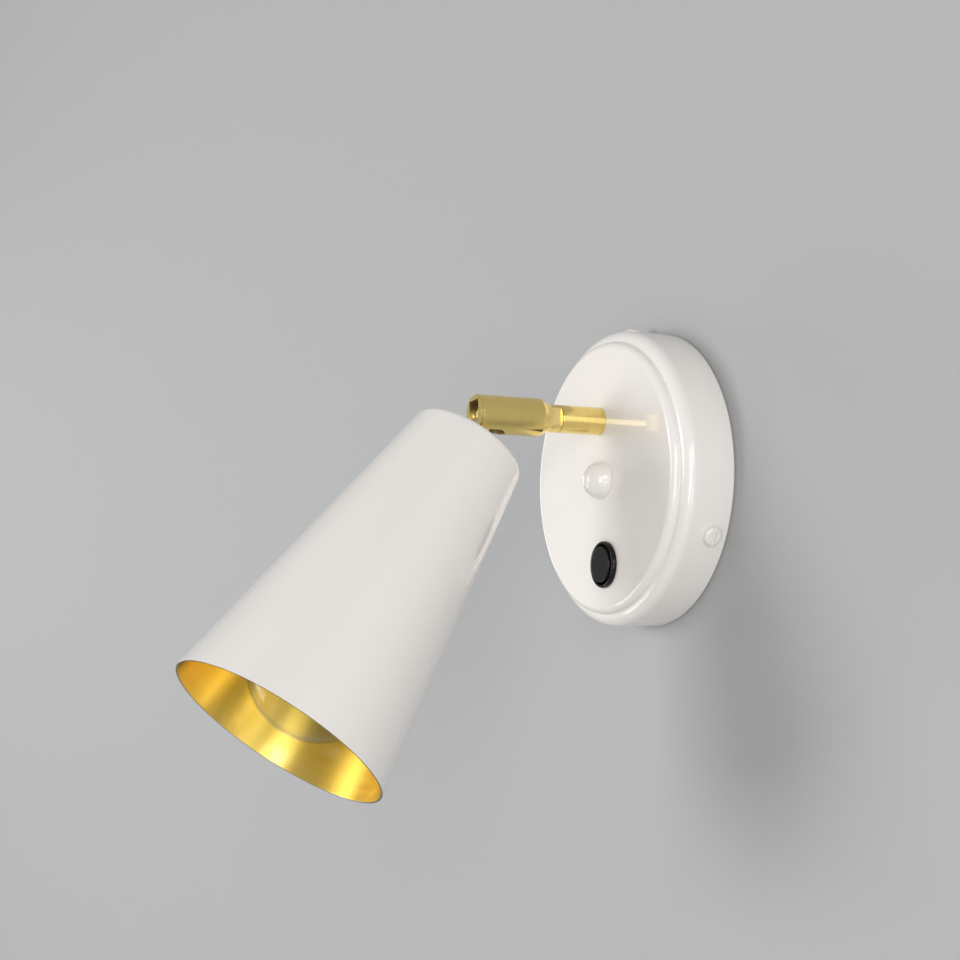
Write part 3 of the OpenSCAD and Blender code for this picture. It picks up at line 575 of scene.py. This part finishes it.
# Side screws: three slotted pan-head screws through the canopy's side wall, into the bracket's
# tabs. They are enamelled with the canopy.
def ring_tree():
    """Copies of one piece round the Z axis, evenly spaced from the start angle."""
    tree = bpy.data.node_groups.new("ring_of_copies", "GeometryNodeTree")
    face = tree.interface
    face.new_socket(name="Piece", in_out="INPUT", socket_type="NodeSocketGeometry")
    face.new_socket(name="Copies", in_out="INPUT", socket_type="NodeSocketInt")
    face.new_socket(name="Start Angle", in_out="INPUT", socket_type="NodeSocketFloat")
    face.new_socket(name="Material", in_out="INPUT", socket_type="NodeSocketMaterial")
    face.new_socket(name="Geometry", in_out="OUTPUT", socket_type="NodeSocketGeometry")
    node = node_maker(tree)
    link = tree.links.new
    given = node("NodeGroupInput")
    points = node("GeometryNodePoints")
    link(given.outputs["Copies"], points.inputs["Count"])
    step = node("ShaderNodeMath", operation="DIVIDE")
    step.inputs[0].default_value = 2 * pi
    link(given.outputs["Copies"], step.inputs[1])
    angle = node("ShaderNodeMath", operation="MULTIPLY_ADD")
    link(node("GeometryNodeInputIndex").outputs[0], angle.inputs[0])
    link(step.outputs[0], angle.inputs[1])
    link(given.outputs["Start Angle"], angle.inputs[2])
    about_z = node("ShaderNodeCombineXYZ")
    link(angle.outputs[0], about_z.inputs["Z"])
    copies = node("GeometryNodeInstanceOnPoints")
    link(points.outputs[0], copies.inputs["Points"])
    link(given.outputs["Piece"], copies.inputs["Instance"])
    link(about_z.outputs[0], copies.inputs["Rotation"])
    real = node("GeometryNodeRealizeInstances")
    link(copies.outputs[0], real.inputs[0])
    painted = node("GeometryNodeSetMaterial")
    link(real.outputs[0], painted.inputs["Geometry"])
    link(given.outputs["Material"], painted.inputs["Material"])
    link(painted.outputs[0], node("NodeGroupOutput").inputs[0])
    return tree


def block(low, high, place, material):
    """A plain square tool for cutting, between two corners."""
    tool = bmesh.new()
    bmesh.ops.create_cube(tool, size=1)
    size = Vector(high) - Vector(low)
    tool.transform(
        place @ Matrix.Translation((Vector(low) + Vector(high)) / 2) @ Matrix.Diagonal((*size, 1))
    )
    made = bpy.data.meshes.new("block")
    tool.to_mesh(made)
    tool.free()
    made.materials.append(material)
    return made


side_head_r = 4 * mm
side_head_h = 2.6 * mm
side_crown = side_head_h + 0.14 * mm
shank_r = 2 * mm
shank_end = -9 * mm
driver_slot_floor = side_head_h - 0.9 * mm
driver_slot_half = 0.8 * mm
side_screw = new_piece("side_screw", turned(
    outline(
        (0, shank_end), (shank_r, shank_end, 0.3 * mm), (shank_r, 0), (side_head_r, 0, 0.15 * mm),
        (side_head_r, side_head_h, 1.2 * mm), (0, side_crown),
    ),
    Matrix.Identity(4), enamel, steps=64,
))
cut(side_screw, block(
    (-driver_slot_half, -side_head_r - 1 * mm, driver_slot_floor),
    (driver_slot_half, side_head_r + 1 * mm, 4 * mm), Matrix.Identity(4), enamel,
))
side_screw.data.transform(
    Matrix.Translation((canopy_r, 0, side_screw_out)) @ Matrix.Rotation(radians(90), 4, "Y")
)
ring = through_tree(
    side_screw.data.copy(), ring_tree(), Copies=3, Start_Angle=radians(90), Material=enamel,
)
bpy.data.objects.remove(side_screw)
ring.transform(on_wall)
side_screws = new_piece("slotted_side_screws", ring)
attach(side_screws, "wall_base")
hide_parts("side_screws")

# Dome cap: an enamelled half ball on a stud, held from inside by a hex nut. It fills the middle
# hole of the face.
dome_r = 8.2 * mm
dome_stud_r = 2 * mm
dome_stud_end = back_of_face - 5 * mm
dome = new_piece("half_ball_cap", turned(
    [*arc(0, canopy_depth, dome_r, 0, 90, 40)[:-1], (0, canopy_depth + dome_r),
     (0, dome_stud_end), (dome_stud_r, dome_stud_end), (dome_stud_r, canopy_depth)],
    Matrix.Translation((0, 0, dome_z)) @ on_wall, enamel, steps=96,
))
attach(dome, "wall_base")
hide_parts("dome_cap")
smooth_copy("dome_nut", "plated_steel", zinc)

# Switch: a gloss black moulding with a round bezel, held by a nut inside the canopy, with two
# brass terminals crimped to the leads and a moving brass contact.
gloss_black = finish(
    "gloss_black", (0.006, 0.006, 0.006), metallic=0, roughness=0.12, uneven=0.04, tint=0.15,
    grain=2600, bump=0.003 * mm, Specular_IOR_Level=0.25,
)
at_switch = Matrix.Translation((0, 0, switch_z)) @ on_wall
bezel_r = 10 * mm
bezel_round = 1 * mm
bezel_front = canopy_depth + 2.0 * mm
switch_thread_r = 8.7 * mm
button_r = 7.7 * mm
button_front = bezel_front + 0.75 * mm
recess_r = button_r + 0.3 * mm
recess_floor = button_front - 4.5 * mm
guide_r = button_r - 1.05 * mm
switch_back = canopy_depth - 12 * mm
guide_floor = switch_back + 2 * mm
terminal_out = 4 * mm
terminal_half_t = 0.5 * mm
terminal_half_w = 1.5 * mm
bezel = new_piece("switch_bezel", turned(
    outline(
        (switch_thread_r, switch_back, 0.2 * mm), (switch_thread_r, canopy_depth),
        (bezel_r, canopy_depth, 0.15 * mm),
        *arc(bezel_r - bezel_round, bezel_front - bezel_round, bezel_round, 0, 90, 16),
        (button_r + 1.2 * mm, bezel_front), (recess_r, bezel_front - 1.5 * mm),
        (recess_r, recess_floor), (guide_r, recess_floor), (guide_r, guide_floor),
        (0, guide_floor), (0, switch_back),
    ),
    at_switch, gloss_black, steps=128,
))
for side in (-1, 1):
    cut(bezel, block(
        (side * terminal_out - terminal_half_t, -terminal_half_w, switch_back - 1 * mm),
        (side * terminal_out + terminal_half_t, terminal_half_w, guide_floor + 1 * mm),
        at_switch, gloss_black,
    ))
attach(bezel, "wall_base")
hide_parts("switch_body")
plain_brass = finish(
    "plain_brass", (0.80, 0.58, 0.25), metallic=1, roughness=0.30, uneven=0.1, tint=0.1,
    patch=150,
)
smooth_copy("switch_nut", "black_plastic", gloss_black)
smooth_copy("switch_terminals", "plain_brass", plain_brass)
smooth_copy("switch_contact", "plain_brass", plain_brass)

# Push button: a thick moulded disc with a rounded edge, on a skirt that slides in the bezel.
# It is the same gloss black as the bezel.
flange_t = 1.7 * mm
flange_back = button_front - flange_t
skirt_r = guide_r - 0.3 * mm
skirt_bore_r = skirt_r - 1 * mm
skirt_end = button_front - 5.5 * mm - flange_t
button = new_piece("round_button", turned(
    outline(
        (0, button_front), (0, flange_back), (skirt_bore_r, flange_back),
        (skirt_bore_r, skirt_end), (skirt_r, skirt_end), (skirt_r, flange_back),
        (button_r, flange_back, 0.1 * mm), (button_r, button_front, 0.6 * mm),
    ),
    at_switch, gloss_black, steps=128,
))
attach(button, "button")
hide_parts("push_button")

# Spring: hard-drawn steel wire wound to fit under the button. In the real switch it is pressed
# shorter as the button goes in; here it keeps the CAD spring's form, with a mesh of its own.
spring_wire = finish("spring_wire", (0.56, 0.57, 0.58), metallic=1, roughness=0.28)
spring = smooth_copy("switch_spring", "plated_steel", spring_wire, crease=radians(70))
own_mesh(spring)

# Leads: single wires in soft insulation, black for the live and switched line and white for the
# neutral. They run from the connectors to the switch and into the arm.
black_cover = finish("black_insulation", (0.014, 0.014, 0.014), metallic=0, roughness=0.42)
white_cover = finish("white_insulation", (0.66, 0.66, 0.63), metallic=0, roughness=0.42)
smooth_copy("live_lead", "black_insulation", black_cover)
smooth_copy("switch_lead", "black_insulation", black_cover)
smooth_copy("neutral_lead", "white_insulation", white_cover)


# Stem: a polished brass tube screwed on the nipple, which a nut and washer clamp to the canopy.
# The journal of the swivel turns in its end.
def lathe_marks():
    """Fine rings from turning or spinning round the Z axis: Rings, and the Broad drift of them."""
    group, node, given, out = shading_group(
        "lathe_marks",
        [("Vector", "NodeSocketVector", None), ("Rings Scale", "NodeSocketFloat", 4000.0),
         ("Break Up", "NodeSocketFloat", 3.0)],
        [("Rings", "NodeSocketFloat"), ("Broad", "NodeSocketFloat")],
    )
    link = group.links.new
    apart = node("ShaderNodeSeparateXYZ")
    link(given.outputs["Vector"], apart.inputs[0])
    around = node("ShaderNodeMath", operation="ARCTAN2")
    link(apart.outputs["Y"], around.inputs[0])
    link(apart.outputs["X"], around.inputs[1])
    slow = node("ShaderNodeMath", operation="MULTIPLY")
    link(around.outputs[0], slow.inputs[0])
    link(given.outputs["Break Up"], slow.inputs[1])
    across = node("ShaderNodeMath", operation="MULTIPLY")
    link(apart.outputs["Z"], across.inputs[0])
    link(given.outputs["Rings Scale"], across.inputs[1])
    at = node("ShaderNodeCombineXYZ")
    link(slow.outputs[0], at.inputs["X"])
    link(across.outputs[0], at.inputs["Y"])
    fine = node("ShaderNodeTexNoise")
    fine.inputs["Scale"].default_value = 1
    fine.inputs["Detail"].default_value = 3
    link(at.outputs[0], fine.inputs["Vector"])
    broad = node("ShaderNodeTexNoise")
    broad.inputs["Scale"].default_value = 0.12
    broad.inputs["Detail"].default_value = 2
    link(at.outputs[0], broad.inputs["Vector"])
    link(fine.outputs["Fac"], out.inputs["Rings"])
    link(broad.outputs["Fac"], out.inputs["Broad"])
    return group


marks = lathe_marks()


def turned_brass(
    name, color, roughness, place, scale=4000.0, depth=0.004 * mm, streak=0.06, **shader,
):
    """Brass with the fine rings of its turning; place is where its turning axis stands."""
    material, tree, surface, node = new_material(name)
    set_shader(surface, 1, shader)
    onto_axis = node("ShaderNodeMapping", vector_type="TEXTURE")
    onto_axis.inputs["Location"].default_value = place.to_translation()
    onto_axis.inputs["Rotation"].default_value = place.to_euler()
    rings = node("ShaderNodeGroup", node_tree=marks)
    rings.inputs["Rings Scale"].default_value = scale
    tree.links.new(node("ShaderNodeTexCoord").outputs["Object"], onto_axis.inputs["Vector"])
    tree.links.new(onto_axis.outputs[0], rings.inputs["Vector"])
    vary_surface(
        tree, surface, node, rings.outputs["Broad"], rings.outputs["Rings"],
        roughness=(roughness - streak, roughness + streak), colors=tinted(color, 0.93, 1.05),
        bump=depth,
    )
    return material


on_arm = Matrix.Translation((0, 0, arm_height)) @ on_wall
polished_brass = turned_brass(
    "polished_brass", (0.88, 0.68, 0.24), roughness=0.15, place=on_arm, streak=0.05,
)
stem_r = 6 * mm
stem_thread_r = 5 * mm
stem_end = -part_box("stem")[0].y
bearing_back = stem_end - 6.5 * mm
bearing_r = 3.5 * mm
stem = new_piece("brass_stem", turned(
    outline(
        (stem_thread_r, canopy_depth), (stem_r, canopy_depth, 0.2 * mm),
        (stem_r, stem_end, 0.4 * mm), (bearing_r, stem_end, 0.1 * mm),
        (bearing_r, bearing_back), (stem_thread_r, bearing_back),
    ),
    on_arm, polished_brass, steps=128,
))
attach(stem, "wall_base")
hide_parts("stem")
for name in ("stem_nipple", "stem_washer", "stem_nut"):
    smooth_copy(name, "plated_steel", zinc)


# Swivel: turned from one brass bar, with a journal in the stem, a neck with two milled flats, a
# cone and a barrel that is slotted for the tongue. A washer and a nut hold it in the stem.
def milled(name, color):
    """Brass with the upright lines that a milling cutter leaves across a flat."""
    material, tree, surface, node = new_material(name)
    surface.inputs["Metallic"].default_value = 1
    across = node("ShaderNodeMapping")
    across.inputs["Scale"].default_value = (300, 7000, 60)
    lines = node("ShaderNodeTexNoise")
    lines.inputs["Scale"].default_value = 1
    lines.inputs["Detail"].default_value = 2
    tree.links.new(node("ShaderNodeTexCoord").outputs["Object"], across.inputs["Vector"])
    tree.links.new(across.outputs[0], lines.inputs["Vector"])
    vary_surface(
        tree, surface, node, lines.outputs["Fac"], lines.outputs["Fac"],
        roughness=(0.22, 0.36), colors=tinted(color, 0.90, 1.05), bump=0.015 * mm,
    )
    return material


neck_start = stem_end + 0.2 * mm
cone_start = neck_start + 4.7 * mm
barrel_start = cone_start + 4.9 * mm
barrel_end = barrel_start + 29.7 * mm
barrel_r = 8.2 * mm
barrel_chamfer = 0.7 * mm
journal_r = 3.45 * mm
journal_end = bearing_back - 4.4 * mm
wire_hole_r = 2.2 * mm
flat_out = 4.7 * mm
hinge_out = barrel_end - 7.1 * mm
tilt_hole_r = 1.52 * mm
tilt_head_r = 2.85 * mm
slot_w = 8.3 * mm
slot_back = barrel_end - 13.5 * mm
slot_top = barrel_r - 2.5 * mm
past_barrel = 20 * mm
swivel = new_piece("swivel_and_barrel", turned(
    outline(
        (wire_hole_r, journal_end), (journal_r, journal_end, 0.2 * mm), (journal_r, neck_start),
        (stem_r, neck_start, 0.15 * mm), (stem_r, cone_start, 0.3 * mm),
        (barrel_r, barrel_start, 0.4 * mm), (barrel_r, barrel_end - barrel_chamfer, 0.1 * mm),
        (barrel_r - barrel_chamfer, barrel_end, 0.1 * mm),
        (0, barrel_end), (0, hinge_out), (wire_hole_r, hinge_out),
    ),
    on_arm, polished_brass, steps=192,
))
milled_brass = milled("milled_brass", (0.88, 0.69, 0.28))
# The slot's cut faces get a darker brass than the flats: painted shade inside the slot.
slot_shade_brass = milled("slot_shade_brass", (0.68, 0.58, 0.31))
for left, right in ((-12 * mm, -flat_out), (flat_out, 12 * mm)):
    cut(swivel, block(
        (left, -10 * mm, neck_start + 0.2 * mm), (right, 10 * mm, cone_start + 2.6 * mm),
        on_arm, milled_brass,
    ))
slot_line = [
    (slot_w / 2, past_barrel), (-slot_w / 2, past_barrel),
    *arc(0, slot_w / 2, slot_w / 2, 180, 360, 32),
]
slot_tool = bmesh.new()
slot_face = slot_tool.faces.new(
    [slot_tool.verts.new((x, slot_top, slot_back + out)) for x, out in slot_line]
)
grown = bmesh.ops.extrude_face_region(slot_tool, geom=[slot_face])["geom"]
bmesh.ops.translate(
    slot_tool, verts=[part for part in grown if isinstance(part, bmesh.types.BMVert)],
    vec=(0, -past_barrel, 0),
)
bmesh.ops.recalc_face_normals(slot_tool, faces=slot_tool.faces)
slot_tool.transform(on_arm)
slot_mesh = bpy.data.meshes.new("slot")
slot_tool.to_mesh(slot_mesh)
slot_tool.free()
slot_mesh.materials.append(slot_shade_brass)
cut(swivel, slot_mesh)
across_barrel = (
    on_arm @ Matrix.Translation((0, 0, hinge_out)) @ Matrix.Rotation(radians(90), 4, "Y")
)
for radius, inner_end in ((tilt_hole_r, barrel_r - 1.5 * mm), (tilt_head_r, 1.7 * mm - barrel_r)):
    cut(swivel, rod(radius, -barrel_r - 1 * mm, inner_end, across_barrel, polished_brass))
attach(swivel, "swivel")
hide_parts("swivel_barrel")
smooth_copy("swivel_washer", "plain_brass", plain_brass)
smooth_copy("swivel_nut", "plain_brass", plain_brass)
smooth_copy("swivel_wires", "white_insulation", white_cover)

# Tilt screw and tongue: the screw is let into the barrel, and the brass tongue turns on it. The
# tongue has a round eye with a rolled rim, a neck, a collar and a threaded spigot.
smooth_copy("tilt_screw", "polished_brass", polished_brass)
tilt_joint = next(joint for joint in frame["joints"] if joint["name"] == "head_tilt")
hinge = Vector(tilt_joint["pos_m"])
rest_tilt = radians(36.17)
on_head = Matrix.Translation(hinge) @ Matrix.Rotation(pi - rest_tilt, 4, "X")
tongue_brass = turned_brass(
    "tongue_brass", (0.78, 0.69, 0.41), roughness=0.12, place=on_head,
)
smooth_copy("tilt_tongue", "polished_brass", tongue_brass)

# Shade: a cone spun from 0.9 mm brass sheet, with a rounded shoulder. It is enamelled white
# outside, and brushed and lacquered inside, round to the lip.
shade_top = 16.5 * mm
shade_mouth = shade_top + 146.7 * mm
shade_top_r = 24.7 * mm
mouth_r = 47.5 * mm
shade_sheet = 0.9 * mm
shoulder_r = 3.2 * mm
half_angle = atan((mouth_r - shade_top_r) / (shade_mouth - shade_top))
lip = shade_sheet / cos(half_angle)
shade_hole = 5.2 * mm
inner_top = shade_top + shade_sheet
inner_top_r = shade_top_r - lip + shade_sheet * tan(half_angle)
inner_mouth_r = mouth_r - lip
lip_round = 0.2 * mm
outer_line = outline(
    (shade_hole, shade_top), (shade_top_r, shade_top, shoulder_r),
    (mouth_r, shade_mouth, lip_round), (inner_mouth_r, shade_mouth), steps=20,
)[:-1]
inner_line = outline(
    (mouth_r, shade_mouth), (inner_mouth_r, shade_mouth, lip_round),
    (inner_top_r, inner_top, shoulder_r - shade_sheet), (shade_hole, inner_top), steps=20,
)[1:]
shade_enamel = white_enamel("shade_enamel", 700)
spun_brass = turned_brass(
    "spun_brass", (0.92, 0.68, 0.13), roughness=0.36, place=on_head, scale=2600.0,
    depth=0.012 * mm, Anisotropic=0.7, Coat_Weight=1.0, Coat_IOR=1.6, Coat_Roughness=0.12,
)
brush_way = spun_brass.node_tree.nodes.new("ShaderNodeTangent")
brush_way.direction_type = "UV_MAP"
brush_way.uv_map = "UVMap"
spun_brass.node_tree.links.new(
    brush_way.outputs[0], spun_brass.node_tree.nodes["Principled BSDF"].inputs["Tangent"]
)
# The lip's edge gets a brass much darker than the inside, which draws a thin dark line round the
# mouth.
dark_lip_brass = finish("dark_lip_brass", (0.30, 0.24, 0.13), metallic=1, roughness=0.45)
shade = new_piece("spun_shade", turned(outer_line + inner_line, on_head, shade_enamel, steps=256))
shade.data.materials.append(spun_brass)
shade.data.materials.append(dark_lip_brass)
# U runs along the outline: enamel first, then the lip, which is 12.6 steps of the outline to
# each side of its middle, and brass after it.
line_points = len(outer_line + inner_line)
lip_at = (len(outer_line) - 0.5) / line_points
lip_reach = 12.6 / line_points
uv = shade.data.uv_layers["UVMap"].data
for face in shade.data.polygons:
    along_line = sum(uv[i].uv.x for i in face.loop_indices) / face.loop_total
    if abs(along_line - lip_at) < lip_reach:
        face.material_index = 2
    elif along_line > lip_at:
        face.material_index = 1
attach(shade, "head")
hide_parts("shade")
smooth_copy("shade_washer", "plated_steel", zinc)
smooth_copy("shade_nut", "plated_steel", zinc)
smooth_copy("head_wires", "white_insulation", white_cover)

# Lampholder: a glazed porcelain cap and body with a threaded brass shell, a middle contact and
# two terminal screws.
glazed = finish(
    "glazed_porcelain", (0.78, 0.77, 0.73), metallic=0, roughness=0.25, tint=0.03,
    Coat_Weight=0.8,
)
smooth_copy("holder_cap", "porcelain", glazed)
smooth_copy("holder_body", "porcelain", glazed)
for name in ("holder_shell", "holder_contact", "holder_terminals"):
    smooth_copy(name, "plain_brass", plain_brass)


# Bulb: blown clear glass on a plated screw base, with a flared glass stem inside that carries the
# support wires and four coated filaments.
def clear_glass(name, edge_shine, face_shine):
    """Thin clear glass: it mirrors more towards its edges, and lets light straight through."""
    material, tree, surface, node = new_material(name)
    tree.nodes.remove(surface)
    light = node("ShaderNodeLightPath")
    edge = node("ShaderNodeLayerWeight")
    edge.inputs["Blend"].default_value = 0.5
    steep = node("ShaderNodeMath", operation="POWER")
    steep.inputs[1].default_value = 5
    seen = node("ShaderNodeMath", operation="MULTIPLY_ADD")
    seen.inputs[1].default_value = edge_shine
    seen.inputs[2].default_value = face_shine
    lit = node("ShaderNodeMath", operation="SUBTRACT", use_clamp=True)
    straight = node("ShaderNodeBsdfTransparent")
    straight.inputs["Color"].default_value = (0.985, 0.985, 0.98, 1)
    mirrored = node("ShaderNodeBsdfGlossy")
    mirrored.inputs["Roughness"].default_value = 0.03
    mixed = node("ShaderNodeMixShader")
    link = tree.links.new
    link(edge.outputs["Facing"], steep.inputs[0])
    link(steep.outputs[0], seen.inputs[0])
    link(seen.outputs[0], lit.inputs[0])
    link(light.outputs["Is Shadow Ray"], lit.inputs[1])
    link(lit.outputs[0], mixed.inputs[0])
    link(straight.outputs[0], mixed.inputs[1])
    link(mirrored.outputs[0], mixed.inputs[2])
    link(mixed.outputs[0], tree.nodes["Material Output"].inputs["Surface"])
    return material


glass = clear_glass("clear_glass", edge_shine=0.45, face_shine=0.015)
globe_r = 30 * mm
crown = 161.5 * mm
bulb_len = 105 * mm
tip = crown - bulb_len
globe_centre = crown - globe_r
neck_r = 14 * mm
fillet_r = 22 * mm
glass_t = 0.45 * mm
sealed_r = 12.5 * mm
seal_start = tip + 12 * mm
seal_end = tip + 25.5 * mm


def glass_line(inwards):
    """The globe's line from its neck to its crown, moved inwards through the wall."""
    ball = globe_r - inwards
    fillet = fillet_r + inwards
    across = neck_r - inwards + fillet
    leave = acos(across / (ball + fillet))
    start = globe_centre - (ball + fillet) * sin(leave)
    return (
        arc(across, start, fillet, 180, 180 - degrees(leave), 16)[:-1]
        + arc(0, globe_centre, ball, -degrees(leave), 90, 48)[:-1]
        + [(0, globe_centre + ball)]
    )


bulb_glass = new_piece("clear_bulb", turned(
    [(sealed_r, seal_start), (sealed_r, seal_end), *glass_line(0),
     *reversed(glass_line(glass_t)),
     (sealed_r - glass_t, seal_end), (sealed_r - glass_t, seal_start)],
    on_head, glass, steps=160,
))
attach(bulb_glass, "head")
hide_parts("bulb_glass")
smooth_copy("bulb_stem", "bulb_glass", glass)
black_glass = finish(
    "black_glass", (0.02, 0.016, 0.026), metallic=0, roughness=0.12, bump=0.003 * mm,
)
smooth_copy("bulb_base", "plated_steel", zinc)
smooth_copy("bulb_contact", "plated_steel", zinc)
smooth_copy("bulb_insulator", "bulb_black_glass", black_glass)
smooth_copy("filament_supports", "plated_steel", zinc)
coating = finish(
    "filament_coating", (0.83, 0.50, 0.06), metallic=0, roughness=0.6, bump=0.03 * mm,
    grain=3000,
)
smooth_copy("filaments", "filament_coating", coating)
